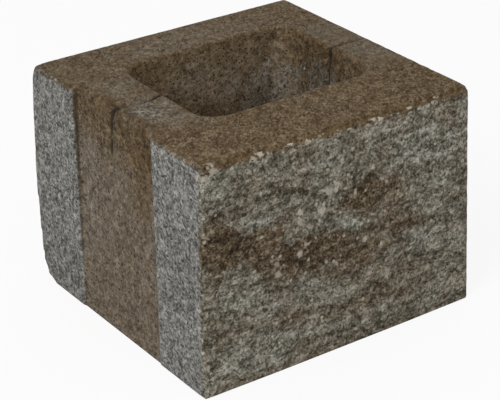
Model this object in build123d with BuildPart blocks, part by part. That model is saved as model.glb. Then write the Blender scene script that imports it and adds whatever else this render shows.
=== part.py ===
"""Concrete planter block, cast as one piece, with a planting pocket right through it.

Millimetres, +Z up, origin in the middle of the outline, on the underside. The split front looks
towards -Y, and the split back stands out in a low crown. The left side, towards -X, has two split
strips with a moulded recess between them, and the right side is moulded all over. Splitting
grooves on the pocket's middle plane run over both webs, down the pocket's ends and down the
recess, and shallow out.
"""
import os
from math import radians, tan

from build123d import *

# Body: the width at the underside, and the depth from the front to the crown of the back
width = 225.0
depth = 211.0
height = 165.0
back_crown = 5.0

# Lean of the walls that a mould core leaves, the right side and the pocket, in degrees
mould_draft = 3.0

# Edges of the body
front_bevel = 4.0
arris_radius = 2.0

# Recess in the left side, deeper at the top, where its core is drawn out
recess_width = 97.0
recess_middle_y = -4.0
recess_top_depth = 6.0
recess_foot_depth = 2.0
recess_lip_radius = 5.0

# Planting pocket, measured at its mouth
pocket_length = 138.0
pocket_breadth = 110.0
pocket_corner_radius = 26.0
pocket_middle_x = 2.0
pocket_middle_y = 4.0
mouth_radius = 3.0

# Splitting grooves, V-shaped, full at their start and running out evenly
groove_depth = 3.0
groove_width = 4.5
recess_groove_run = 32.0
pocket_groove_run = 70.0
left_web_groove_run = 80.0
right_web_groove_run = 38.0

# How far a cutter reaches past the face that it cuts
overrun = 5.0

draft_slope = tan(radians(mould_draft))
left_x = -width / 2
front_y = -depth / 2
crown_y = depth / 2
back_edge_y = crown_y - back_crown
right_foot_x = width / 2
right_top_x = right_foot_x - height * draft_slope
recess_slope = (recess_top_depth - recess_foot_depth) / height
recess_foot_x = left_x + recess_foot_depth
recess_top_x = left_x + recess_top_depth
pocket_left_x = pocket_middle_x - pocket_length / 2
pocket_right_x = pocket_middle_x + pocket_length / 2
flare = groove_width / 2 * (groove_depth + overrun) / groove_depth

# The grooves: where each starts on the top, which way it runs over its face, which way it bites,
# and how far it runs
grooves = (
    (recess_top_x, Vector(-recess_slope, 0, -1), Vector(1, 0, 0), recess_groove_run),
    (pocket_left_x, Vector(draft_slope, 0, -1), Vector(-1, 0, 0), pocket_groove_run),
    (pocket_right_x, Vector(-draft_slope, 0, -1), Vector(1, 0, 0), pocket_groove_run),
    (pocket_left_x, Vector(-1, 0, 0), Vector(0, 0, -1), left_web_groove_run),
    (pocket_right_x, Vector(1, 0, 0), Vector(0, 0, -1), right_web_groove_run),
)

os.makedirs("parts", exist_ok=True)

with BuildPart() as planter_block:
    # Body: a flat front and a crowned back, drawn across the width
    with BuildSketch(Plane.YZ.offset(left_x)):
        with BuildLine():
            Polyline((back_edge_y, height), (front_y, height), (front_y, 0), (back_edge_y, 0))
            ThreePointArc((back_edge_y, 0), (crown_y, height / 2), (back_edge_y, height))
        make_face()
    extrude(amount=width)

    # The right side leans in towards the top
    with BuildSketch(Plane.XZ):
        with BuildLine():
            Polyline(
                (right_foot_x + overrun * draft_slope, -overrun),
                (right_foot_x + overrun, -overrun),
                (right_foot_x + overrun, height + overrun),
                (right_top_x - overrun * draft_slope, height + overrun),
                close=True,
            )
        make_face()
    extrude(amount=depth, both=True, mode=Mode.SUBTRACT)

    # Worn arrises all round, apart from the underside
    under_edges = planter_block.faces().sort_by(Axis.Z)[0].edges()
    fillet(planter_block.edges().filter_by(lambda edge: edge not in under_edges), radius=arris_radius)

    # The front keeps half of a splitting groove as a bevel along its top
    with BuildSketch(Plane.YZ.offset(left_x - overrun)):
        with Locations((front_y, height)):
            Polygon(
                (-overrun, -front_bevel - overrun),
                (front_bevel + overrun, overrun),
                (-overrun, overrun),
                align=None,
            )
    extrude(amount=width + 2 * overrun, mode=Mode.SUBTRACT)

    # Recess between the two split strips of the left side, with a rounded lip at the top
    with BuildSketch(Plane.XZ.offset(-recess_middle_y)):
        with BuildLine():
            Polyline(
                (left_x - overrun, -overrun),
                (recess_foot_x - overrun * recess_slope, -overrun),
                (recess_top_x + overrun * recess_slope, height + overrun),
                (left_x - overrun, height + overrun),
                close=True,
            )
        make_face()
    extrude(amount=recess_width / 2, both=True, mode=Mode.SUBTRACT)
    inner_edges = planter_block.edges().filter_by(Axis.Y).filter_by_position(
        Axis.X, left_x + arris_radius, pocket_left_x, inclusive=(False, False)
    )
    fillet(inner_edges.sort_by(Axis.Z)[-1], radius=recess_lip_radius)

    # Planting pocket, wider at the mouth, with a rounded rim
    with BuildSketch(Plane.XY.offset(height)):
        with Locations((pocket_middle_x, pocket_middle_y)):
            RectangleRounded(pocket_length, pocket_breadth, pocket_corner_radius)
    extrude(amount=-height, taper=mould_draft, mode=Mode.SUBTRACT)
    top_face = planter_block.faces().sort_by(Axis.Z)[-1]
    fillet(top_face.inner_wires()[0].edges(), radius=mouth_radius)

    # Splitting grooves, each from a little before its start to the end of its run
    for start_x, way, bite, run in grooves:
        root = way * run - bite * groove_depth
        before = Vector(start_x, pocket_middle_y, height) - root.normalized() * overrun
        with BuildSketch(Plane(origin=before, x_dir=bite.cross(way), z_dir=root)):
            Polygon((-flare, -overrun), (0, groove_depth), (flare, -overrun), align=None)
        extrude(amount=run + overrun, mode=Mode.SUBTRACT)

planter_block.part.label = "planter_block"
export_step(planter_block.part, "parts/planter_block.step")
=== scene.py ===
"""Looks of the concrete planter block, in metres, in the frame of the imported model.

The cast block is dressed as it came out of the mould and off the splitter: a brown cast skin
with fine pits, split faces with broken stone showing, brown and grey pigment marbled through
the mix, worn arrises and splitting grooves.
"""

import itertools
import logging
import math
from dataclasses import dataclass, field
from enum import Enum

import bpy
import numpy as np
from mathutils import Matrix, Vector


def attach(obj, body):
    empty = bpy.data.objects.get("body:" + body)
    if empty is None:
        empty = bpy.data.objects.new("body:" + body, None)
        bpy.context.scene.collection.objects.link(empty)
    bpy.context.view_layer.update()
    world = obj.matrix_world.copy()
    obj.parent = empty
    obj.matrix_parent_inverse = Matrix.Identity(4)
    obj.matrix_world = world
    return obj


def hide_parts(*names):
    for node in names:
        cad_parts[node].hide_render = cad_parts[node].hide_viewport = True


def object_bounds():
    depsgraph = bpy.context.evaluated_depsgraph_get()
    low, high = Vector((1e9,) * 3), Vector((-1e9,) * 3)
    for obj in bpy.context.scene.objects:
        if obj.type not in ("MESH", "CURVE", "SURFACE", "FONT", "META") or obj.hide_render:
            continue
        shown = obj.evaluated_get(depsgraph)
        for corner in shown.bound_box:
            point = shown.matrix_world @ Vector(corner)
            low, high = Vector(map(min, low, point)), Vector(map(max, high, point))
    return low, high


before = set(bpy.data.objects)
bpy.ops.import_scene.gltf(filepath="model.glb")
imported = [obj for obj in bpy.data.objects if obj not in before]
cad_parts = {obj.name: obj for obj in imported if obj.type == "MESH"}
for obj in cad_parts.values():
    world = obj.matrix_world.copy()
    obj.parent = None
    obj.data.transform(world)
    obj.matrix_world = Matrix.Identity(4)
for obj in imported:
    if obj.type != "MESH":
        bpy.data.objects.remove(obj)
CAD_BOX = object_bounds()

MM = 0.001
NODE = "planter_block"
BODY = "root"
FRONT_Y = -105.5
TOP_Z = 165.0

Triple = tuple[float, float, float]
Colour = tuple[float, float, float]
Pairs = tuple[tuple[float, float], ...]
Stops = tuple[tuple[float, Colour], ...]
Socket = bpy.types.NodeSocket
log = logging.getLogger("planter_block")


class Face(Enum):
    """The faces of the block, named from in front of it, with their outward directions."""

    FRONT = (0.0, -1.0, 0.0)
    BACK = (0.0, 1.0, 0.0)
    LEFT = (-1.0, 0.0, 0.0)
    RIGHT = (1.0, 0.0, 0.05)
    TOP = (0.0, 0.0, 1.0)
    BASE = (0.0, 0.0, -1.0)
    POCKET = (0.0, 0.0, 0.0)


Depths = dict[Face, np.ndarray]


class Mask(Enum):
    """What the mesh tells its material at each point."""

    SPLIT = "split"
    BARE = "bare"
    BROWN = "brown"
    # Painted shade in the grooves and along the recess's side walls.
    DARK = "dark"
    STONES = "stones"
    # Grain height with the tones: painted light on high grains, painted shade in low spots, painted light
    # and shade in the pocket.
    HEIGHT = "height"
    FLAT = "flat"
    GRAIN = "grain"


def smooth_step(value: np.ndarray, start: float, end: float) -> np.ndarray:
    """Eases from 0 at start to 1 at end.

    Args:
        value: Any numbers.
        start: The value that gives 0.
        end: The value that gives 1, above or below start.

    Returns:
        Numbers from 0 to 1, as many as in value.
    """
    share = np.clip((value - start) / (end - start), 0.0, 1.0)
    return share * share * (3.0 - 2.0 * share)


class SpaceNoise:
    """Smooth noise in space, drawn from a seed, so that every run gives the same block."""

    TABLE = 256
    SPREAD = 1.7

    def __init__(self, seed: int) -> None:
        """Draws the lattice directions of this noise.

        Args:
            seed: The number that the directions are drawn from.
        """
        draw = np.random.default_rng(seed)
        directions = draw.normal(size=(self.TABLE, 3))
        self.directions = directions / np.linalg.norm(directions, axis=1, keepdims=True)
        self.order = draw.permutation(self.TABLE)

    def _direction(self, cell: np.ndarray) -> np.ndarray:
        """Picks the direction that belongs to each lattice cell.

        Args:
            cell: Whole-number lattice points, three to a row.

        Returns:
            One unit direction for each row.
        """
        index = self.order[cell[:, 0] % self.TABLE]
        index = self.order[(index + cell[:, 1]) % self.TABLE]
        index = self.order[(index + cell[:, 2]) % self.TABLE]
        return self.directions[index]

    def at(self, points: np.ndarray, length: float) -> np.ndarray:
        """Gives the noise at points.

        Args:
            points: Places in metres, three to a row.
            length: The size of one wave of the noise, in metres.

        Returns:
            About -1 to 1 for each row.
        """
        place = points / length
        cell = np.floor(place).astype(int)
        local = place - cell
        fade = local ** 3 * (local * (local * 6.0 - 15.0) + 10.0)
        total = np.zeros(len(points))
        for corner in itertools.product((0, 1), repeat=3):
            offset = np.array(corner)
            rise = (self._direction(cell + offset) * (local - offset)).sum(axis=1)
            total += rise * np.prod(np.where(offset == 1, fade, 1.0 - fade), axis=1)
        return total * self.SPREAD


@dataclass(frozen=True)
class Patch:
    """A ragged lump of pigment or wear in the concrete, in millimetres."""

    middle: Triple
    half: Triple
    amount: float

    def share(self, points: np.ndarray, ragged: np.ndarray) -> np.ndarray:
        """Tells how much of the patch each point has.

        Args:
            points: Places in metres, three to a row.
            ragged: Noise that frays the patch's outline.

        Returns:
            The patch's amount in its middle, going to 0 outside.
        """
        away = (points / MM - np.array(self.middle)) / np.array(self.half)
        return self.amount * smooth_step(np.linalg.norm(away, axis=1) + ragged, 1.3, 0.6)


Patches = tuple[Patch, ...]


def on_front(x: float, z: float, wide: float, high: float, amount: float, deep: float = 10.0) -> Patch:
    """A patch on the split front, in millimetres from the block's middle and its underside."""
    return Patch((x, FRONT_Y, z), (wide, deep, high), amount)


def on_top(x: float, y: float, wide: float, long: float, amount: float, deep: float = 10.0) -> Patch:
    """A patch on the cast top, in millimetres from the block's middle."""
    return Patch((x, y, TOP_Z), (wide, long, deep), amount)


@dataclass(frozen=True)
class BlockShape:
    """Sizes of the cast block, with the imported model's box as its outside."""

    low: Vector
    high: Vector
    mould_draft: float = math.radians(3.0)
    front_bevel: float = 4.0 * MM
    back_crown: float = 5.0 * MM
    recess_width: float = 97.0 * MM
    recess_middle: float = -4.0 * MM
    recess_top_depth: float = 6.0 * MM
    recess_foot_depth: float = 2.0 * MM
    pocket_length: float = 138.0 * MM
    pocket_breadth: float = 110.0 * MM
    pocket_corner: float = 26.0 * MM
    pocket_middle_x: float = 2.0 * MM
    pocket_middle_y: float = 4.0 * MM

    def beside_recess(self, points: np.ndarray) -> np.ndarray:
        """How far each point lies outside the recess's two side walls, negative inside."""
        return np.abs(points[:, 1] - self.recess_middle) - self.recess_width / 2

    def recess_depth(self, points: np.ndarray) -> np.ndarray:
        """Depth of the recess at each point's height."""
        share = (points[:, 2] - self.low.z) / (self.high.z - self.low.z)
        return self.recess_foot_depth + share * (self.recess_top_depth - self.recess_foot_depth)

    def under(self, points: np.ndarray) -> Depths:
        """Measures how deep each point lies under each face.

        Args:
            points: Places in metres, three to a row.

        Returns:
            For each face, a distance for each row, 0 on the face and positive inside the block.
        """
        x, y, z = points.T
        lean = math.tan(self.mould_draft)
        drop = (self.high.z - z) * lean
        in_recess = self.beside_recess(points) < -0.5 * MM
        left = self.low.x + np.where(in_recess, self.recess_depth(points), 0.0)
        right = self.high.x - (z - self.low.z) * lean
        half_height = (self.high.z - self.low.z) / 2
        back = self.high.y - self.back_crown * ((z - self.low.z) / half_height - 1.0) ** 2
        corner = self.pocket_corner - drop
        reach_x = np.abs(x - self.pocket_middle_x) - (self.pocket_length / 2 - drop - corner)
        reach_y = np.abs(y - self.pocket_middle_y) - (self.pocket_breadth / 2 - drop - corner)
        outer = np.hypot(np.maximum(reach_x, 0), np.maximum(reach_y, 0))
        pocket = outer + np.minimum(np.maximum(reach_x, reach_y), 0) - corner
        return {
            Face.FRONT: y - self.low.y,
            Face.BACK: back - y,
            Face.LEFT: x - left,
            Face.RIGHT: right - x,
            Face.TOP: self.high.z - z,
            Face.BASE: z - self.low.z,
            Face.POCKET: pocket,
        }


@dataclass(frozen=True)
class SplittingGroove:
    """The V-shaped grooves over both webs and down their faces, worn a little wider than cast."""

    shape: BlockShape
    depth: float = 3.6 * MM
    half_width: float = 3.1 * MM
    recess_run: float = 60.0 * MM
    pocket_run: float = 75.0 * MM
    left_web_run: float = 84.0 * MM
    right_web_run: float = 36.0 * MM

    def depths(self, points: np.ndarray, under: Depths, wobble: np.ndarray) -> Depths:
        """Tells how deep the grooves' roots lie under each face that they cross.

        Args:
            points: Places in metres, three to a row.
            under: Depth of each point under each face.
            wobble: Noise that makes the grooves uneven, about -1 to 1.

        Returns:
            A depth for each row, 0 away from the grooves, for the top, the recess and the pocket.
        """
        off = np.abs(points[:, 1] - self.shape.pocket_middle_y + 0.7 * MM * wobble)
        section = np.clip(1.0 - off / (self.half_width * (1.0 + 0.35 * wobble)), 0.0, 1.0)
        on_left = points[:, 0] < self.shape.pocket_middle_x
        web_run = np.where(on_left, self.left_web_run, self.right_web_run)
        runs = {
            Face.TOP: under[Face.POCKET] / web_run,
            Face.LEFT: under[Face.TOP] / self.recess_run,
            Face.POCKET: under[Face.TOP] / self.pocket_run,
        }
        return {face: section * self.depth * np.clip(1.0 - run, 0.0, 1.0) for face, run in runs.items()}


@dataclass
class PlanterBlock:
    """The cast and split block: its dense mesh, its relief and its masks."""

    shape: BlockShape
    name: str = "concrete_block"
    grain: float = 1.3 * MM
    most_triangles: int = 196000
    arris: float = 1.6 * MM
    foot_arris: float = 0.5 * MM
    split_waves: Pairs = ((38.0 * MM, 0.35 * MM), (13.0 * MM, 0.25 * MM))
    cast_waves: Pairs = ((26.0 * MM, 0.15 * MM), (9.0 * MM, 0.15 * MM))
    crack_line: Pairs = (
        (0.0, 3.0), (12.0, -1.5), (20.0, -2.0), (34.0, -5.4), (41.0, -3.2), (48.0, -0.7), (75.0, 1.4),
    )
    crack_reach: float = 9.0 * MM
    pocket_shift: float = 5.0 * MM
    corner_tightening: float = 9.0 * MM
    recess_foot_shift: float = 0.5 * MM
    recess_top_shift: float = 4.0 * MM
    ridge: float = 0.5 * MM
    lump: float = 5.5 * MM
    grit: float = 2.9 * MM
    front_pits: float = 0.8 * MM
    strip_pits: float = 0.4 * MM
    cast_pits: float = 0.6 * MM
    worn_corners: Patches = (
        Patch((-112.5, 102, 165), (8, 8, 8), 2.4),
        Patch((-112.5, 101, 0), (13, 14, 13), 6),
        Patch((104, -105.5, 165), (8, 8, 7), 1.2),
        Patch((112.5, -105.5, 0), (9, 9, 7), 1.6),
        Patch((-112.5, -105.5, 0), (8, 8, 8), 2),
        Patch((-112.5, -105.5, 68), (10, 10, 26), 2),
    )
    back_hollows: Patches = (
        Patch((-112.5, 105.5, 26), (70, 30, 32), 4.2),
        Patch((-112.5, 105.5, 36), (40, 30, 14), 1.6),
        Patch((-112.5, 105.5, 112), (60, 30, 16), 1.2),
        Patch((40, 105.5, 95), (50, 30, 30), 2.2),
    )
    broken_skin: Patches = (
        on_top(-84, -12, 14, 13, 0.6),
        on_top(-80, -34, 11, 16, 0.45),
        on_top(-96, -21, 10, 13, 0.45),
        on_top(-84, 31, 11, 9, 0.35),
        on_top(90, 31, 12, 16, 0.3),
        on_top(90, -20, 14, 18, 0.3),
        on_top(-30, 78, 16, 12, 0.3),
        Patch((50, 56, 117), (24, 16, 16), 0.45),
        Patch((66, 44, 126), (14, 24, 18), 0.4),
        Patch((68, 10, 135), (10, 22, 14), 0.4),
    )
    front_marbling: Patches = (
        on_front(-102, 110, 16, 17, 0.75, deep=8),
        on_front(-76, 100, 26, 14, 0.65),
        on_front(-30, 80, 40, 15, 0.5),
        on_front(-16, 79, 20, 12, 0.35),
        on_front(22, 108, 26, 14, 0.55),
        on_front(58, 78, 24, 6, 0.4),
        on_front(16, 77, 20, 10, 0.3),
        on_front(-106, 84, 8, 6, 0.25, deep=8),
        on_front(8, 65, 40, 9, 0.3),
        on_front(-48, 38, 26, 7, 0.3),
        on_front(10, 29, 34, 7, 0.2),
        on_front(48, 34, 30, 14, 0.2),
        on_front(-40, 135, 20, 8, 0.2),
        on_front(68, 132, 26, 14, -0.5),
        on_front(70, 108, 26, 12, -0.2),
        on_front(64, 62, 14, 8, -0.4),
        on_front(-82, 63, 20, 8, -0.3),
        on_front(-22, 145, 14, 6, -0.25),
        on_front(-70, 115, 11, 5, -0.4),
        on_front(4, 94, 9, 9, -0.4),
        on_front(-72, 20, 36, 14, -0.35),
    )
    cast_marbling: Patches = (
        on_top(-86, -12, 24, 20, -0.3),
        on_top(-88, 32, 18, 14, -0.2),
        on_top(0, 80, 60, 18, -0.15),
        on_top(90, 8, 20, 46, -0.18),
        on_top(70, 85, 34, 20, 0.12),
        Patch((-109, -4, 160), (10, 60, 30), 0.5),
        Patch((-109, 28, 110), (10, 14, 30), -0.12),
        Patch((-109, -36, 128), (10, 18, 32), 0.32),
        Patch((-109, 36, 80), (10, 12, 60), -0.18),
        Patch((60, 50, 120), (28, 20, 18), -0.3),
        Patch((69, 8, 134), (10, 24, 17), -0.55),
        Patch((2, 58, 138), (30, 10, 14), -0.25),
    )
    stone_clusters: Patches = (
        on_front(-18, 112, 24, 16, 0.35),
        on_front(10, 122, 22, 12, 0.3),
        on_front(-30, 78, 50, 14, 0.15),
        on_front(-108, 160, 10, 6, 0.9, deep=8),
    )
    fine_skin: Patches = (on_top(92, 6, 20, 54, -0.15),)
    # Tone patches; those on the pocket's back wall are painted light up high and painted shade low down.
    tones_and_painted_pocket_light: Patches = (
        on_top(-108, -4, 12, 48, -0.26, deep=28),
        Patch((-109, -36, 132), (12, 18, 24), -0.12),
        Patch((-109, 36, 85), (10, 10, 50), 0.08),
        Patch((-112.5, -85, 153), (6, 22, 13), 0.1),
        Patch((-112.5, -87, 104), (6, 14, 16), -0.1),
        # Painted light on the pocket's upper back wall and its corner, painted shade low on the back
        # wall.
        Patch((14, 58, 140), (44, 10, 19), 0.3),
        Patch((64, 50, 136), (18, 16, 19), 0.22),
        Patch((30, 56, 100), (50, 10, 8), -0.1),
        on_top(-92, 24, 14, 10, 0.1, deep=8),
        on_top(-80, 50, 16, 12, -0.08, deep=8),
        on_top(-80, 85, 40, 22, -0.08),
        Patch((-112.5, 75, 30), (6, 35, 45), -0.07),
        Patch((68, 20, 150), (6, 40, 16), -0.15),
        on_front(-22, 77, 42, 13, -0.2, deep=8),
        on_front(16, 79, 14, 9, -0.12, deep=8),
        on_front(-92, 107, 24, 12, -0.22, deep=8),
        on_front(-102, 150, 12, 12, -0.16, deep=8),
        on_front(-82, 124, 14, 6, -0.12, deep=8),
        on_front(-104, 83, 10, 7, -0.12, deep=8),
        on_front(90, 59, 12, 6, -0.12, deep=8),
        on_front(50, 116, 12, 7, 0.12, deep=8),
        on_front(52, 91, 12, 7, 0.12, deep=8),
        on_front(26, 38, 14, 8, 0.08, deep=8),
        on_front(20, 112, 22, 10, -0.1, deep=8),
        on_front(60, 78, 16, 4, -0.08, deep=8),
        on_front(4, 95, 9, 9, 0.14, deep=8),
        on_front(-70, 114, 10, 4, 0.12, deep=8),
        on_front(66, 68, 9, 6, 0.12, deep=8),
        on_front(-58, 20, 14, 9, 0.1, deep=8),
        on_front(10, 45, 16, 6, 0.1, deep=8),
    )
    front_brown: float = 0.5
    top_brown: float = 0.8
    front_band_brown: float = 0.25
    recess_brown: float = 0.42
    pocket_brown: float = 1.0
    rubbed_brown: float = 0.6
    # Painted light on the upper part of the pocket's back wall.
    back_wall_painted_light: float = 0.26
    noise: SpaceNoise = field(default_factory=lambda: SpaceNoise(7))
    ragged: SpaceNoise = field(default_factory=lambda: SpaceNoise(23))

    def build(self) -> bpy.types.Object:
        """Makes the block's mesh with its relief and masks, and hangs it on the model.

        Returns:
            The finished object.
        """
        mesh = self._fine_mesh()
        points, normals = self._vertices(mesh)
        under = self.shape.under(points)
        split = self._split_mask(points, under)
        moved = points + self._wear(points, under)
        sunk, dark = self._grooves(points, under)
        height = self._height(points)
        moved += sunk + normals * self._relief(points, under, split, height)[:, None]
        moved += self._corrected(points, under)
        moved[:, 1] += self._wander(points, under)
        self._place(mesh, moved)
        strips = split * smooth_step(under[Face.FRONT], 1.5 * MM, 4.0 * MM)
        self._write(mesh, Mask.SPLIT, split)
        self._write(mesh, Mask.BARE, strips * smooth_step(under[Face.TOP], 0.0, 1.0 * MM))
        self._write(mesh, Mask.BROWN, self._brown_mask(points, under, split))
        # Painted shade in the grooves and along the recess's side walls.
        self._write(mesh, Mask.DARK, dark)
        self._write(mesh, Mask.STONES, self._stones_mask(points, under, split))
        # Painted light and shade: high grains come out paler and low spots darker, with the tones and the
        # pocket's painted light added.
        self._write(mesh, Mask.HEIGHT, 0.5 + 0.5 * height + self._tone_and_painted_light(points, under))
        self._write(mesh, Mask.FLAT, smooth_step(normals[:, 2], 0.5, 0.9))
        grain = 0.8 + 0.2 * smooth_step(points[:, 1], -45.0 * MM, -60.0 * MM)
        self._write(mesh, Mask.GRAIN, grain + self._patched(points, self.fine_skin))
        block = bpy.data.objects.new(self.name, mesh)
        bpy.context.scene.collection.objects.link(block)
        self._thin(block, self._hidden(points, under))
        self._place(block.data, self._vertices(block.data)[0])
        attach(block, BODY)
        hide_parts(NODE)
        return block

    def _fine_mesh(self) -> bpy.types.Mesh:
        """Covers the cast solid with an even mesh of the grain's size.

        Returns:
            A closed mesh of four-sided faces.
        """
        blank = bpy.data.objects.new("blank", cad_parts[NODE].data.copy())
        bpy.context.scene.collection.objects.link(blank)
        cover = blank.modifiers.new("cover", "REMESH")
        cover.mode = "VOXEL"
        cover.voxel_size = self.grain
        cover.use_smooth_shade = True
        graph = bpy.context.evaluated_depsgraph_get()
        mesh = bpy.data.meshes.new_from_object(blank.evaluated_get(graph), depsgraph=graph)
        bpy.data.objects.remove(blank)
        mesh.name = self.name
        mesh.materials.clear()
        return mesh

    def _thin(self, block: bpy.types.Object, hidden: np.ndarray) -> None:
        """Thins out the mesh where nobody looks, so that it stays light.

        Args:
            block: The object, whose mesh is replaced.
            hidden: For each point, 0 to keep it and up to 1 to let it go first.
        """
        mesh = block.data
        mesh.calc_loop_triangles()
        group = block.vertex_groups.new(name="hidden")
        for level in np.unique(hidden[hidden > 0]):
            group.add(np.flatnonzero(hidden == level).tolist(), float(level), "REPLACE")
        thin = block.modifiers.new("thin", "DECIMATE")
        thin.ratio = min(1.0, self.most_triangles / len(mesh.loop_triangles))
        thin.vertex_group = group.name
        graph = bpy.context.evaluated_depsgraph_get()
        block.data = bpy.data.meshes.new_from_object(block.evaluated_get(graph), depsgraph=graph)
        block.modifiers.remove(thin)
        block.vertex_groups.clear()
        bpy.data.meshes.remove(mesh)

    def _hidden(self, points: np.ndarray, under: Depths) -> np.ndarray:
        """Ranks the points on the underside, in the pocket, on the back and on the right."""
        hidden = np.zeros(len(points))
        hidden[(under[Face.RIGHT] < 1.0 * MM) | (under[Face.BACK] < 1.0 * MM)] = 0.5
        hidden[(under[Face.POCKET] < 2.0 * MM) & (under[Face.TOP] > 60.0 * MM)] = 0.4
        hidden[under[Face.BASE] < 0.6 * MM] = 1.0
        return hidden

    @staticmethod
    def _vertices(mesh: bpy.types.Mesh) -> tuple[np.ndarray, np.ndarray]:
        """Reads a mesh's points and their outward directions."""
        points = np.zeros(len(mesh.vertices) * 3, np.float32)
        normals = np.zeros(len(mesh.vertices) * 3, np.float32)
        mesh.vertices.foreach_get("co", points)
        mesh.vertex_normals.foreach_get("vector", normals)
        return points.reshape(-1, 3).astype(float), normals.reshape(-1, 3).astype(float)

    def _place(self, mesh: bpy.types.Mesh, points: np.ndarray) -> None:
        """Moves a mesh's points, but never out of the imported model's box."""
        inside = np.clip(points, np.array(self.shape.low), np.array(self.shape.high))
        mesh.vertices.foreach_set("co", inside.astype(np.float32).ravel())
        mesh.update()

    @staticmethod
    def _write(mesh: bpy.types.Mesh, mask: Mask, values: np.ndarray) -> None:
        """Stores one mask on the mesh's points."""
        layer = mesh.attributes.new(mask.value, "FLOAT", "POINT")
        layer.data.foreach_set("value", values.astype(np.float32))

    def _waves(self, points: np.ndarray, waves: Pairs) -> np.ndarray:
        """Adds up noise of several sizes.

        Args:
            points: Places in metres, three to a row.
            waves: Pairs of wave length and height, in metres.

        Returns:
            A height for each row, about even round 0.
        """
        return sum(height * self.noise.at(points, length) for length, height in waves)

    def _frayed(self, points: np.ndarray) -> np.ndarray:
        """Noise that frays the outlines of patches."""
        return 0.3 * self.ragged.at(points, 9.0 * MM) + 0.22 * self.ragged.at(points, 3.5 * MM)

    def _patched(self, points: np.ndarray, patches: Patches) -> np.ndarray:
        """Adds up patches with frayed outlines."""
        frayed = self._frayed(points)
        return sum(patch.share(points, frayed) for patch in patches)

    def _tone_and_painted_light(self, points: np.ndarray, under: Depths) -> np.ndarray:
        """Lightens and darkens the concrete in patches, and paints light on the upper part of the
        pocket's back wall.

        Args:
            points: Places in metres, three to a row.
            under: Depth of each point under each face.

        Returns:
            A tone to add for each row, painted light and shade included, 0 for none.
        """
        # Painted light: the upper part of the pocket's back wall is made paler in its colour.
        wall = smooth_step(under[Face.POCKET], 3.0 * MM, 1.0 * MM)
        wall = wall * smooth_step(points[:, 1], 30.0 * MM, 50.0 * MM)
        painted_wall_light = self.back_wall_painted_light * wall * smooth_step(under[Face.TOP], 1.0 * MM, 4.0 * MM)
        return painted_wall_light + self._patched(points, self.tones_and_painted_pocket_light)

    def _wear(self, points: np.ndarray, under: Depths) -> np.ndarray:
        """Rounds the arrises, more where the block has been knocked.

        Args:
            points: Places in metres, three to a row.
            under: Depth of each point under each face.

        Returns:
            How far each point moves, in metres.
        """
        knock = 0.35 * self.ragged.at(points, 9.0 * MM) + 0.3 * self.ragged.at(points, 4.0 * MM)
        extra = sum(MM * corner.share(points, 0.3 * knock) for corner in self.worn_corners)
        standing = smooth_step(under[Face.BASE], 2.0 * MM, 6.0 * MM)
        radius = self.foot_arris + (self.arris * (1.0 + 0.6 * knock) - self.foot_arris) * standing + extra
        faces = (Face.FRONT, Face.BACK, Face.LEFT, Face.RIGHT, Face.TOP, Face.BASE)
        pull = {face: np.maximum(radius - np.maximum(under[face], 0.0), 0.0) for face in faces}
        length = np.sqrt(sum(part ** 2 for part in pull.values()))
        share = np.maximum(length - radius, 0.0) / np.maximum(length, 1e-9)
        moves = np.zeros_like(points)
        for face, part in pull.items():
            moves -= (share * part)[:, None] * np.array(face.value)
        return moves

    def _grooves(self, points: np.ndarray, under: Depths) -> tuple[np.ndarray, np.ndarray]:
        """Deepens and frays the splitting grooves, and paints shade into them and along the recess's side
        walls.

        Args:
            points: Places in metres, three to a row.
            under: Depth of each point under each face.

        Returns:
            How far each point moves, and how much shade is painted there.
        """
        wobble = self.ragged.at(points, 6.0 * MM) + 0.6 * self.noise.at(points, 3.0 * MM)
        depths = SplittingGroove(self.shape).depths(points, under, wobble)
        on_left = points[:, 0] < self.shape.pocket_middle_x
        outward = np.where(on_left, -1.0, 1.0)
        ways = {
            Face.TOP: np.array([[0.0, 0.0, -1.0]]),
            Face.LEFT: np.array([[1.0, 0.0, 0.0]]),
            Face.POCKET: outward[:, None] * np.array([1.0, 0.0, 0.0]),
        }
        fading = smooth_step(under[Face.POCKET], 34.0 * MM, 4.0 * MM)
        # Painted shade: how dark the shade in each groove is painted.
        groove_shade = {
            Face.TOP: np.where(on_left, 0.35 + 0.5 * fading, 0.55),
            Face.LEFT: 0.85 + 0.5 * wobble,
            Face.POCKET: 0.95 + 0.3 * wobble,
        }
        spread = {Face.TOP: np.where(on_left, 1.0, 2.6), Face.LEFT: 1.2, Face.POCKET: 0.75}
        moves = np.zeros_like(points)
        dark = np.zeros(len(points))
        for face, depth in depths.items():
            near = np.abs(under[face]) < 4.5 * MM
            lack = np.where(near, np.maximum(depth - np.maximum(under[face], 0.0), 0.0), 0.0)
            moves += lack[:, None] * ways[face]
            shaded = smooth_step(depth * spread[face], 0.4 * MM, 2.0 * MM) * groove_shade[face]
            dark = np.maximum(dark, np.where(near, shaded, 0.0))
        # Painted shade: a dark line along the recess's side walls, where the step shades the corner.
        corner = np.exp(-((self.shape.beside_recess(points) / (0.9 * MM)) ** 2))
        corner = corner * smooth_step(points[:, 0] - self.shape.low.x, 0.8 * MM, 1.6 * MM)
        corner = corner * (points[:, 0] < self.shape.low.x + self.shape.recess_top_depth + 1.0 * MM)
        return moves, np.clip(np.maximum(dark, 0.58 * corner), 0.0, 1.0)

    def _wander(self, points: np.ndarray, under: Depths) -> np.ndarray:
        """Lets the groove over the left web and down the recess wander, as the crack in it does.

        Args:
            points: Places in metres, three to a row.
            under: Depth of each point under each face.

        Returns:
            How far each point moves towards the back, in metres.
        """
        rim = self.shape.pocket_middle_x - self.shape.pocket_length / 2
        run = np.maximum(rim - points[:, 0], 0.0) + under[Face.TOP]
        places, offsets = zip(*self.crack_line)
        near = np.exp(-(((points[:, 1] - self.shape.pocket_middle_y) / self.crack_reach) ** 2))
        near = near * smooth_step(points[:, 0] - rim, 7.0 * MM, -2.0 * MM)
        return near * MM * np.interp(run / MM, places, offsets)

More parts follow.
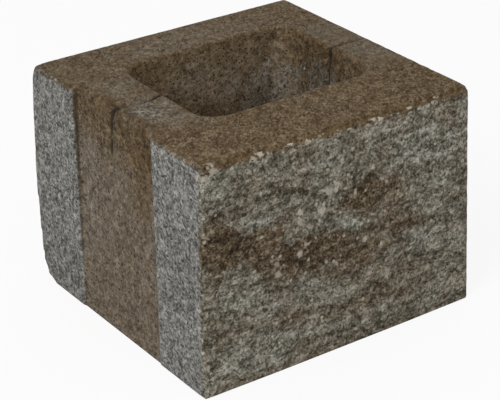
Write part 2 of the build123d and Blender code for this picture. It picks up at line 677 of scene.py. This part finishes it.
    def _corrected(self, points: np.ndarray, under: Depths) -> np.ndarray:
        """Moves the recess, and the pocket's front wall and corners, a few millimetres into place.

        Args:
            points: Places in metres, three to a row.
            under: Depth of each point under each face.

        Returns:
            How far each point moves, in metres.
        """
        shape = self.shape
        share = under[Face.BASE] / (shape.high.z - shape.low.z)
        lean = self.recess_foot_shift + (self.recess_top_shift - self.recess_foot_shift) * share
        recess = smooth_step(shape.beside_recess(points), 30.0 * MM, 2.0 * MM)
        recess = recess * smooth_step(points[:, 0] - shape.low.x, 30.0 * MM, 8.0 * MM)
        rim = smooth_step(under[Face.POCKET], 24.0 * MM, 2.0 * MM)
        moves = self._tighter_corners(points, under) * rim[:, None]
        front_half = smooth_step(points[:, 1], 5.0 * MM, -25.0 * MM)
        moves[:, 1] += lean * recess + self.pocket_shift * rim * front_half
        return moves

    def _tighter_corners(self, points: np.ndarray, under: Depths) -> np.ndarray:
        """Draws the pocket's corners out to a smaller radius.

        Args:
            points: Places in metres, three to a row.
            under: Depth of each point under each face.

        Returns:
            How far a point on the pocket's wall moves, in metres.
        """
        shape = self.shape
        plan = points[:, :2] - np.array([shape.pocket_middle_x, shape.pocket_middle_y])
        straight = np.array([shape.pocket_length, shape.pocket_breadth]) / 2 - shape.pocket_corner
        past = np.maximum(np.abs(plan) - straight, 0.0)
        ways = past / np.maximum(np.linalg.norm(past, axis=1, keepdims=True), 0.1 * MM)
        least, most = np.sort(ways, axis=1).T
        radius = shape.pocket_corner - under[Face.TOP] * math.tan(shape.mould_draft)
        tight = radius - self.corner_tightening
        root = np.maximum(tight ** 2 - self.corner_tightening ** 2 * (1.0 - 2.0 * least * most), 0.0)
        round_reach = self.corner_tightening * (least + most) + np.sqrt(root)
        flat_reach = radius / np.maximum(most, 0.5)
        reach = np.where(least * radius < most * self.corner_tightening, flat_reach, round_reach)
        moves = np.zeros_like(points)
        moves[:, :2] = np.maximum(reach - radius, 0.0)[:, None] * ways * np.sign(plan)
        return moves

    def _split_mask(self, points: np.ndarray, under: Depths) -> np.ndarray:
        """Finds where the concrete was split, and where it still has its cast skin.

        Args:
            points: Places in metres, three to a row.
            under: Depth of each point under each face.

        Returns:
            1 on split concrete, 0 on cast skin.
        """
        wander = 1.5 * MM * self.ragged.at(points, 7.0 * MM) + 1.2 * MM * self.noise.at(points, 3.0 * MM)
        below_bevel = smooth_step(under[Face.TOP] - self.shape.front_bevel + wander, -0.5 * MM, 0.8 * MM)
        front = smooth_step(under[Face.FRONT], 2.4 * MM, 1.2 * MM) * below_bevel
        below_arris = smooth_step(under[Face.TOP] + wander, -0.4 * MM, 0.8 * MM)
        strips = smooth_step(points[:, 0] - self.shape.low.x, 2.2 * MM, 1.2 * MM) * below_arris
        strips = strips * (self.shape.beside_recess(points) > -0.4 * MM)
        back = smooth_step(under[Face.BACK], 2.0 * MM, 1.0 * MM) * below_arris
        frayed = 2.6 * self._frayed(points)
        chipped = sum(patch.share(points, frayed) for patch in self.broken_skin)
        skin = np.minimum(under[Face.TOP], under[Face.POCKET])
        chipped = np.clip(chipped, 0.0, 1.0) * smooth_step(skin, 2.5 * MM, 1.5 * MM)
        return np.maximum.reduce((front, strips, back, chipped))

    def _height(self, points: np.ndarray) -> np.ndarray:
        """Heights of the grains that stick out of the surface, about -1 to 1."""
        return 0.45 * self.noise.at(points, self.lump) + 0.55 * self.ragged.at(points, self.grit)

    def _relief(
        self, points: np.ndarray, under: Depths, split: np.ndarray, height: np.ndarray
    ) -> np.ndarray:
        """Works out how far each point sinks under the plain cast solid.

        Args:
            points: Places in metres, three to a row.
            under: Depth of each point under each face.
            split: The split mask.
            height: Heights of the grains.

        Returns:
            Heights in metres, 0 or below.
        """
        pits = smooth_step(height, 0.05, -0.65)
        faced = smooth_step(under[Face.FRONT], 4.0 * MM, 2.0 * MM)
        laid = self.noise.at(points * np.array([0.3, 0.3, 1.0]), 7.0 * MM)
        broken = self._waves(points, self.split_waves) + faced * self.ridge * (laid - 0.3)
        broken = broken - pits * (self.strip_pits + faced * (self.front_pits - self.strip_pits))
        cast = self._waves(points, self.cast_waves) - pits * self.cast_pits
        on_back = under[Face.BACK] < 2.0 * MM
        frayed = self._frayed(points)
        for hollow in self.back_hollows:
            broken = broken - np.where(on_back, MM * hollow.share(points, frayed), 0.0)
        relief = np.minimum(cast + (broken - cast) * split, 0.0)
        outer = [depth for face, depth in under.items() if face is not Face.POCKET]
        calm = 0.25 + 0.75 * smooth_step(np.sort(np.stack(outer), axis=0)[1], 0.5 * MM, 5.0 * MM)
        return relief * calm * smooth_step(under[Face.BASE], 0.0, 1.0 * MM)

    def _brown_mask(self, points: np.ndarray, under: Depths, split: np.ndarray) -> np.ndarray:
        """Marbles brown pigment through the grey mix.

        Args:
            points: Places in metres, three to a row.
            under: Depth of each point under each face.
            split: The split mask.

        Returns:
            0 for grey to 1 for brown.
        """
        frayed = 1.15 * self._frayed(points)
        cloud = self.ragged.at(points, 30.0 * MM)
        laid = self.noise.at(points * np.array([0.25, 0.25, 1.0]), 8.0 * MM)
        laid = laid + 0.6 * self.noise.at(points * np.array([0.35, 0.35, 1.0]), 4.0 * MM)
        in_recess = (self.shape.beside_recess(points) < 0.0) & (under[Face.LEFT] < 3.0 * MM)
        in_pocket = under[Face.POCKET] < 3.0 * MM
        band = self.front_band_brown * smooth_step(points[:, 1], -40.0 * MM, -62.0 * MM)
        cast = np.where(in_pocket, self.pocket_brown, self.top_brown + band)
        cast = np.where(in_recess, self.recess_brown, cast)
        cast = cast + 0.15 * cloud + 0.05 * laid
        for patch in self.cast_marbling:
            cast = cast + patch.share(points, frayed)
        front = self.front_brown + 0.16 * laid + 0.22 * cloud + 0.14 * self.noise.at(points, 12.0 * MM)
        for patch in self.front_marbling:
            front = front + patch.share(points, frayed)
        faced = smooth_step(under[Face.FRONT], 5.0 * MM, 2.0 * MM)
        skin = np.minimum(under[Face.TOP], under[Face.POCKET])
        broken = np.where(skin < 2.5 * MM, self.rubbed_brown, faced * np.clip(front, -0.3, 1.3))
        return np.clip(cast, 0.0, 1.1) * (1.0 - split) + broken * split

    def _stones_mask(self, points: np.ndarray, under: Depths, split: np.ndarray) -> np.ndarray:
        """Finds where pale stones show, most of all along the broken edge of the front's bevel.

        Args:
            points: Places in metres, three to a row.
            under: Depth of each point under each face.
            split: The split mask.

        Returns:
            0 where there are hardly any to 1 where they lie close.
        """
        edge = np.exp(-(((under[Face.TOP] - 3.8 * MM) / (2.4 * MM)) ** 2))
        side = np.exp(-(((points[:, 0] - self.shape.low.x) / (2.5 * MM)) ** 2))
        edge = np.maximum(edge, 0.6 * side) * smooth_step(under[Face.FRONT], 4.0 * MM, 1.5 * MM)
        knock = smooth_step(self.ragged.at(points, 16.0 * MM), -0.4, 0.4)
        faced = smooth_step(under[Face.FRONT], 3.0 * MM, 1.0 * MM)
        stones = split * (0.02 + 0.08 * faced) + edge * (0.5 + 0.5 * knock)
        return np.clip(stones + self._patched(points, self.stone_clusters), 0.0, 1.0)


@dataclass(frozen=True)
class Grains:
    """What packed grains give: two random numbers, and the distance from the grain's middle."""

    number: Socket
    shade: Socket
    away: Socket


@dataclass(frozen=True)
class Graining:
    """How strongly each size of grain lightens and darkens one kind of surface."""

    fine: float
    coarse: float
    sand: float
    cloud: float
    # Weight of the painted light and shade that follow the grains' height.
    height: float


class NodeSheet:
    """Adds and joins the nodes of one material or of the world."""

    def __init__(self, owner: bpy.types.Material | bpy.types.World) -> None:
        """Starts with no nodes but the one that gives places.

        Args:
            owner: The material or world that the nodes belong to.
        """
        self.owner = owner
        owner.use_nodes = True
        self.tree = owner.node_tree
        self.tree.nodes.clear()
        self.place = self.tree.nodes.new("ShaderNodeTexCoord").outputs["Object"]

    def add(self, kind: str, **inputs: object) -> bpy.types.Node:
        """Adds a node and fills its inputs.

        Args:
            kind: Blender's name for the node, without its first words.
            inputs: Values or sockets by input name, with _ for a space.

        Returns:
            The new node.
        """
        node = self.tree.nodes.new("ShaderNode" + kind)
        for name, value in inputs.items():
            self.fill(node.inputs[name.replace("_", " ")], value)
        return node

    def fill(self, target: Socket, value: object) -> None:
        """Links a socket to an input, or sets a plain value on it."""
        if isinstance(value, Socket):
            self.tree.links.new(value, target)
        else:
            target.default_value = value

    def math(self, operation: str, first: object, second: object = 0.0) -> Socket:
        """Adds one step of arithmetic and returns its result."""
        node = self.tree.nodes.new("ShaderNodeMath")
        node.operation = operation
        self.fill(node.inputs[0], first)
        self.fill(node.inputs[1], second)
        return node.outputs[0]

    def ease(self, value: Socket, start: float, end: float) -> Socket:
        """Eases a value from 0 at start to 1 at end."""
        node = self.add("MapRange", Value=value, From_Min=start, From_Max=end)
        node.interpolation_type = "SMOOTHSTEP"
        return node.outputs[0]

    def mask(self, mask: Mask) -> Socket:
        """Reads one of the mesh's masks."""
        node = self.tree.nodes.new("ShaderNodeAttribute")
        node.attribute_name = mask.value
        return node.outputs["Fac"]

    def drawn(self, lie: float, factor: float) -> Socket:
        """Gives places in which grains come out longer along one way.

        Args:
            lie: Angle of that way from the block's width, seen from above.
            factor: How much longer the grains are.

        Returns:
            A vector socket.
        """
        node = self.add("Mapping", Vector=self.place, Rotation=(0.0, 0.0, lie), Scale=(factor, 1.0, 1.0))
        node.vector_type = "TEXTURE"
        return node.outputs[0]

    def noise(self, size: float, detail: float = 2.0, place: Socket | None = None) -> Socket:
        """Adds smooth noise of a size in metres, and returns it as 0 to 1."""
        node = self.add("TexNoise", Vector=place or self.place, Scale=1.0 / size, Detail=detail)
        return node.outputs["Fac"]

    def swing(self, size: float, detail: float, place: Socket | None = None) -> Socket:
        """Adds smooth noise of a size in metres that swings evenly round 0."""
        return self.scaled(self.noise(size, detail, place), 0.5, 1.0)

    def shaken(self, size: float, reach: float, place: Socket | None = None) -> Socket:
        """Gives the place of each point, shaken so that grains get uneven outlines.

        Args:
            size: Size of the shake's waves, in metres.
            reach: How far a point is shaken, in metres.
            place: The places to shake, or None for the block's own.

        Returns:
            A vector socket.
        """
        place = place or self.place
        noise = self.add("TexNoise", Vector=place, Scale=1.0 / size, Detail=1.0)
        shift = self.tree.nodes.new("ShaderNodeVectorMath")
        shift.operation = "MULTIPLY_ADD"
        self.fill(shift.inputs[0], noise.outputs["Color"])
        shift.inputs[1].default_value = (reach,) * 3
        self.fill(shift.inputs[2], place)
        return shift.outputs[0]

    def grains(self, place: Socket, size: float) -> Grains:
        """Packs space with grains.

        Args:
            place: The vector that the grains lie in.
            size: About the width of a grain, in metres.

        Returns:
            The grains' random numbers and distances.
        """
        node = self.add("TexVoronoi", Vector=place, Scale=1.0 / size)
        pick = self.add("SeparateColor", Color=node.outputs["Color"])
        return Grains(pick.outputs[0], pick.outputs[1], node.outputs["Distance"])

    def ramp(self, factor: Socket, stops: Stops) -> Socket:
        """Turns a number into a colour.

        Args:
            factor: Numbers from 0 to 1.
            stops: Places on the ramp and their colours, in linear light.

        Returns:
            A colour socket.
        """
        node = self.add("ValToRGB", Fac=factor)
        elements = node.color_ramp.elements
        while len(elements) < len(stops):
            elements.new(1.0)
        for element, (place, colour) in zip(elements, stops):
            element.position = place
            element.color = (*colour, 1.0)
        return node.outputs["Color"]

    def mix(self, factor: object, first: object, second: object) -> Socket:
        """Mixes two colours.

        Args:
            factor: How much of the second colour counts, 0 to 1.
            first: A colour or a socket.
            second: A colour or a socket.

        Returns:
            A colour socket.
        """
        node = self.tree.nodes.new("ShaderNodeMix")
        node.data_type = "RGBA"
        for identifier, value in (("Factor_Float", factor), ("A_Color", first), ("B_Color", second)):
            socket = next(s for s in node.inputs if s.identifier == identifier)
            self.fill(socket, value)
        return next(s for s in node.outputs if s.identifier == "Result_Color")

    def scaled(self, value: object, middle: float, factor: object) -> Socket:
        """Takes the middle away from a value and multiplies what is left."""
        return self.math("MULTIPLY", self.math("SUBTRACT", value, middle), factor)

    def weighted(self, *parts: tuple[object, float], middle: float = 0.0) -> Socket:
        """Adds up values, each less the middle and times its own weight."""
        return self.total(*(self.scaled(value, middle, weight) for value, weight in parts))

    def total(self, *values: object) -> Socket:
        """Adds up any number of values."""
        result = values[0]
        for value in values[1:]:
            result = self.math("ADD", result, value)
        return result


def linear(shade: float) -> float:
    """Turns a shade of 0 to 255, as a screen shows it, into linear light."""
    share = max(shade, 0.0) / 255.0
    return share / 12.92 if share <= 0.04045 else ((share + 0.055) / 1.055) ** 2.4


@dataclass(frozen=True)
class Pigment:
    """One pigment of the mix: its middle shade, and how far its grains are paler and darker."""

    middle: Colour
    spread: float

    def stops(self) -> Stops:
        """The pigment as stops of a ramp, in linear light, of one hue from dark to pale."""
        places = (0.0, 0.25, 0.5, 0.75, 1.0)
        return tuple(
            (place, tuple(linear(shade + (2.0 * place - 1.0) * self.spread) for shade in self.middle))
            for place in places
        )


@dataclass(frozen=True)
class ConcreteFinish:
    """Matt concrete with grains of stone in grey and brown cement."""

    name: str = "marbled_concrete"
    grey: Pigment = Pigment((108.0, 107.0, 103.0), 62.0)
    drab: Pigment = Pigment((117.0, 115.0, 104.0), 64.0)
    umber: Pigment = Pigment((84.0, 71.0, 53.0), 56.0)
    ash: Pigment = Pigment((100.0, 91.5, 81.0), 52.0)
    brown: Pigment = Pigment((88.0, 71.5, 48.5), 54.0)
    pale_stone: Colour = (0.46, 0.42, 0.34)
    # Near-black painted shade for the pits, the grooves and the recess's side walls.
    hollow_shade: Colour = (0.018, 0.014, 0.009)
    strip_graining: Graining = Graining(0.28, 0.3, 1.15, 0.7, 0.45)
    front_graining: Graining = Graining(0.45, 0.28, 1.2, 1.15, 0.6)
    wall_graining: Graining = Graining(0.3, 0.16, 0.6, 0.7, 0.45)
    top_graining: Graining = Graining(0.42, 0.0, 0.8, 0.6, 0.5)
    fine_grain: float = 1.1 * MM
    coarse_grain: float = 2.3 * MM
    stone: float = 2.9 * MM
    pebble: float = 6.0 * MM
    pit: float = 2.1 * MM
    lie: float = math.radians(55.0)
    drawn_out: float = 1.6
    bedding: float = 3.0
    roughness: float = 0.92
    gloss: float = 0.25

    def material(self) -> bpy.types.Material:
        """Builds the material.

        Returns:
            A node material that reads the block's masks.
        """
        sheet = NodeSheet(bpy.data.materials.new(self.name))
        split = sheet.mask(Mask.SPLIT)
        bare = sheet.mask(Mask.BARE)
        place = sheet.shaken(1.5 * MM, 0.5 * MM)
        fine = sheet.grains(place, self.fine_grain)
        coarse = sheet.grains(place, self.coarse_grain)
        # Painted light and shade from the grains' height, the tones and the pocket's painted light.
        height = sheet.scaled(sheet.mask(Mask.HEIGHT), 0.5, 1.0)
        sand = sheet.swing(1.8 * MM, 2.0)
        cloud = sheet.swing(6.0 * MM, 3.0)
        strip = self._grained(sheet, self.strip_graining, (fine, coarse), (sand, cloud, height))
        bed = sheet.swing(4.5 * MM, 3.0, sheet.drawn(0.0, self.bedding))
        front = self._grained(sheet, self.front_graining, (fine, coarse), (sand, bed, height))
        wall = self._grained(sheet, self.wall_graining, (fine, coarse), (sand, cloud, height))
        rubbed = sheet.drawn(self.lie, self.drawn_out)
        dust = sheet.grains(sheet.shaken(1.5 * MM, 0.5 * MM, rubbed), self.fine_grain)
        silt = sheet.swing(1.8 * MM, 2.0, rubbed)
        haze = sheet.swing(6.0 * MM, 3.0, rubbed)
        top = self._grained(sheet, self.top_graining, (dust, dust), (silt, haze, height))
        top = sheet.math("MULTIPLY", top, sheet.mask(Mask.GRAIN))
        smooth = self._blend(sheet, sheet.mask(Mask.FLAT), wall, top)
        value = self._blend(sheet, split, smooth, self._blend(sheet, bare, front, strip))
        value = sheet.total(0.5, value)

        grey, drab, umber, ash, brown = (
            sheet.ramp(value, pigment.stops())
            for pigment in (self.grey, self.drab, self.umber, self.ash, self.brown)
        )
        stone = sheet.mix(split, ash, sheet.mix(bare, drab, grey))
        brown = sheet.mix(split, brown, umber)
        fray = sheet.weighted((cloud, 0.5), (sand, 0.4))
        share = sheet.add("Clamp", Value=sheet.total(sheet.mask(Mask.BROWN), fray))
        colour = sheet.mix(share.outputs[0], stone, brown)

        stones = self._stones(sheet, place)
        colour = sheet.mix(stones, colour, (*self.pale_stone, 1.0))
        rough = self._blend(sheet, split, sheet.math("SUBTRACT", 1.0, sheet.mask(Mask.FLAT)), bare)
        # Painted shade: the pits, the grooves and the recess's side walls are mixed towards a near-black
        # colour.
        pits = self._pits(sheet, rubbed, rough)
        ragged = sheet.total(sheet.mask(Mask.DARK), sheet.math("MULTIPLY", sand, 0.9))
        crevice_shade = sheet.ease(ragged, 0.25, 0.85)
        hollow = sheet.math("MAXIMUM", pits, sheet.math("MULTIPLY", crevice_shade, 0.9))
        colour = sheet.mix(hollow, colour, (*self.hollow_shade, 1.0))

        relief = sheet.total(
            sheet.math("MULTIPLY", sand, 0.9),
            sheet.noise(1.1 * MM, 2.0),
            sheet.math("MULTIPLY", stones, 0.6),
            sheet.math("MULTIPLY", pits, -1.0),
        )
        bump = sheet.add("Bump", Strength=0.6, Distance=0.6 * MM, Height=relief)
        shader = sheet.add(
            "BsdfPrincipled", Base_Color=colour, Roughness=self.roughness, Normal=bump.outputs[0]
        )
        shader.inputs["Specular IOR Level"].default_value = self.gloss
        sheet.add("OutputMaterial", Surface=shader.outputs[0])
        return sheet.owner

    @staticmethod
    def _grained(
        sheet: NodeSheet,
        graining: Graining,
        packed: tuple[Grains, ...],
        loose: tuple[Socket, ...],
    ) -> Socket:
        """Adds up the grains of one kind of surface.

        Args:
            sheet: The material's nodes.
            graining: The weight of each size of grain.
            packed: The fine and the coarse grains.
            loose: The sand, the clouds and the height, which paints light on high grains and shade in low
                spots.

        Returns:
            Shades round 0, paler above it and darker below.
        """
        numbers = zip((grains.number for grains in packed), (graining.fine, graining.coarse))
        shades = zip(loose, (graining.sand, graining.cloud, graining.height))
        return sheet.total(sheet.weighted(*numbers, middle=0.5), sheet.weighted(*shades))

    @staticmethod
    def _blend(sheet: NodeSheet, share: Socket, first: Socket, second: Socket) -> Socket:
        """Goes from one number to another as the share goes from 0 to 1."""
        return sheet.total(first, sheet.math("MULTIPLY", sheet.math("SUBTRACT", second, first), share))

    def _stones(self, sheet: NodeSheet, place: Socket) -> Socket:
        """Scatters pale stones and, where they lie close, larger pebbles.

        Args:
            sheet: The material's nodes.
            place: The vector that the stones lie in.

        Returns:
            1 on a stone, 0 beside it.
        """
        dense = sheet.mask(Mask.STONES)
        layers = []
        for size, least, gain, gleam in ((self.stone, 1.0, 0.3, 0.55), (self.pebble, 1.06, 0.56, 0.75)):
            grains = sheet.grains(place, size)
            rare = sheet.math("SUBTRACT", least, sheet.math("MULTIPLY", dense, gain))
            picked = sheet.math("GREATER_THAN", grains.number, rare)
            away = sheet.total(grains.away, sheet.scaled(sheet.noise(1.6 * MM), 0.5, 0.5))
            inside = sheet.ease(away, 0.56, 0.3)
            shine = sheet.total(0.2, sheet.math("MULTIPLY", grains.shade, gleam))
            layers.append(sheet.math("MULTIPLY", sheet.math("MULTIPLY", picked, inside), shine))
        return sheet.math("MAXIMUM", *layers)

    def _pits(self, sheet: NodeSheet, place: Socket, rough: Socket) -> Socket:
        """Pricks small pits into the surface, with shade painted dark into them.

        Args:
            sheet: The material's nodes.
            place: The vector that the pits lie in.
            rough: 0 for few pits to 1 for many.

        Returns:
            How much shade is painted into the pits, 0 beside them.
        """
        holes = sheet.grains(sheet.shaken(1.0 * MM, 0.6 * MM, place), self.pit)
        rare = sheet.math("SUBTRACT", 0.84, sheet.math("MULTIPLY", rough, 0.2))
        picked = sheet.math("GREATER_THAN", holes.number, rare)
        inside = sheet.ease(holes.away, 0.44, 0.24)
        return sheet.math("MULTIPLY", sheet.math("MULTIPLY", picked, inside), 0.8)


@dataclass
class Stage:
    """A plain pale floor under soft studio light."""

    reach: float = 12.0
    floor_colour: Colour = (0.85, 0.85, 0.85)
    open_light: float = 0.65
    key_share: float = 0.5
    key_way: Vector = field(default_factory=lambda: Vector((-0.8, -0.35, 0.75)))
    key_distance: float = 2.2
    key_size: float = 1.0
    shadow_share: float = 0.12

    def build(self) -> None:
        """Lays the floor and sets up the light."""
        self._floor()
        self._world()
        self._key()

    def _floor(self) -> None:
        """Lays a white floor that keeps the block's shadow."""
        half = self.reach / 2
        mesh = bpy.data.meshes.new("floor")
        corners = [(-half, -half, 0), (half, -half, 0), (half, half, 0), (-half, half, 0)]
        mesh.from_pydata(corners, [], [(0, 1, 2, 3)])
        floor = bpy.data.objects.new("floor", mesh)
        floor.location.z = CAD_BOX[0].z
        bpy.context.scene.collection.objects.link(floor)
        sheet = NodeSheet(bpy.data.materials.new("pale_floor"))
        path = sheet.add("LightPath")
        seen = sheet.math("MAXIMUM", path.outputs["Is Camera Ray"], path.outputs["Is Glossy Ray"])
        seen = sheet.math("MAXIMUM", seen, path.outputs["Is Transmission Ray"])
        lit = sheet.add("BsdfDiffuse", Color=(*self.floor_colour, 1.0))
        white = sheet.add("Emission", Color=(1.0, 1.0, 1.0, 1.0), Strength=1.0)
        share = sheet.math("MULTIPLY", seen, 1.0 - self.shadow_share)
        both = sheet.add("MixShader", Fac=share)
        sheet.fill(both.inputs[1], lit.outputs[0])
        sheet.fill(both.inputs[2], white.outputs[0])
        sheet.add("OutputMaterial", Surface=both.outputs[0])
        mesh.materials.append(sheet.owner)

    def _world(self) -> None:
        """Fills the space with even white light, and shows it as white."""
        world = bpy.data.worlds.new("studio")
        bpy.context.scene.world = world
        sheet = NodeSheet(world)
        path = sheet.add("LightPath")
        seen = sheet.math("MAXIMUM", path.outputs["Is Camera Ray"], path.outputs["Is Glossy Ray"])
        strength = sheet.add("MapRange", Value=seen, To_Min=self.open_light, To_Max=1.0)
        light = sheet.add("Background", Color=(1.0, 1.0, 1.0, 1.0), Strength=strength.outputs[0])
        sheet.add("OutputWorld", Surface=light.outputs[0])

    def _key(self) -> None:
        """Hangs one wide soft lamp up on the left."""
        lamp = bpy.data.lights.new("key", "AREA")
        lamp.shape = "DISK"
        lamp.size = self.key_size
        lamp.energy = self.key_share * math.pi ** 2 * self.key_distance ** 2
        holder = bpy.data.objects.new("key", lamp)
        way = self.key_way.normalized()
        middle = (CAD_BOX[0] + CAD_BOX[1]) / 2
        turn = way.to_track_quat("Z", "Y").to_matrix().to_4x4()
        holder.matrix_world = Matrix.Translation(middle + way * self.key_distance) @ turn
        bpy.context.scene.collection.objects.link(holder)


@dataclass(frozen=True)
class Viewpoint:
    """The camera, to the left of the front and above it."""

    azimuth: float = math.radians(-35.41)
    elevation: float = math.radians(26.78)
    roll: float = math.radians(-0.46)
    distance: float = 1.2782
    target: Triple = (-0.0024, -0.0020, 0.06985)
    lens: float = 131.6
    sensor: float = 36.0

    def place(self) -> bpy.types.Object:
        """Sets up the camera.

        Returns:
            The scene's camera.
        """
        across = math.cos(self.elevation)
        back = Vector((
            math.sin(self.azimuth) * across,
            -math.cos(self.azimuth) * across,
            math.sin(self.elevation),
        ))
        right = Vector((0.0, 0.0, 1.0)).cross(back).normalized()
        up = back.cross(right)
        turn = Matrix.Rotation(self.roll, 3, back)
        axes = Matrix((turn @ right, turn @ up, back)).transposed()
        lens = bpy.data.cameras.new("camera")
        lens.lens = self.lens
        lens.sensor_width = self.sensor
        camera = bpy.data.objects.new("camera", lens)
        place = Vector(self.target) + back * self.distance
        camera.matrix_world = Matrix.Translation(place) @ axes.to_4x4()
        bpy.context.scene.collection.objects.link(camera)
        bpy.context.scene.camera = camera
        return camera


def main() -> None:
    """Builds the block, its stage and the camera, and notes its size."""
    logging.basicConfig(level=logging.INFO)
    bpy.context.scene.view_settings.view_transform = "Standard"
    low, high = CAD_BOX
    block = PlanterBlock(BlockShape(low, high)).build()
    block.data.materials.append(ConcreteFinish().material())
    block.data.calc_loop_triangles()
    log.info("%s: %d triangles", block.name, len(block.data.loop_triangles))
    Stage().build()
    Viewpoint().place()


if __name__ == "__main__":
    main()
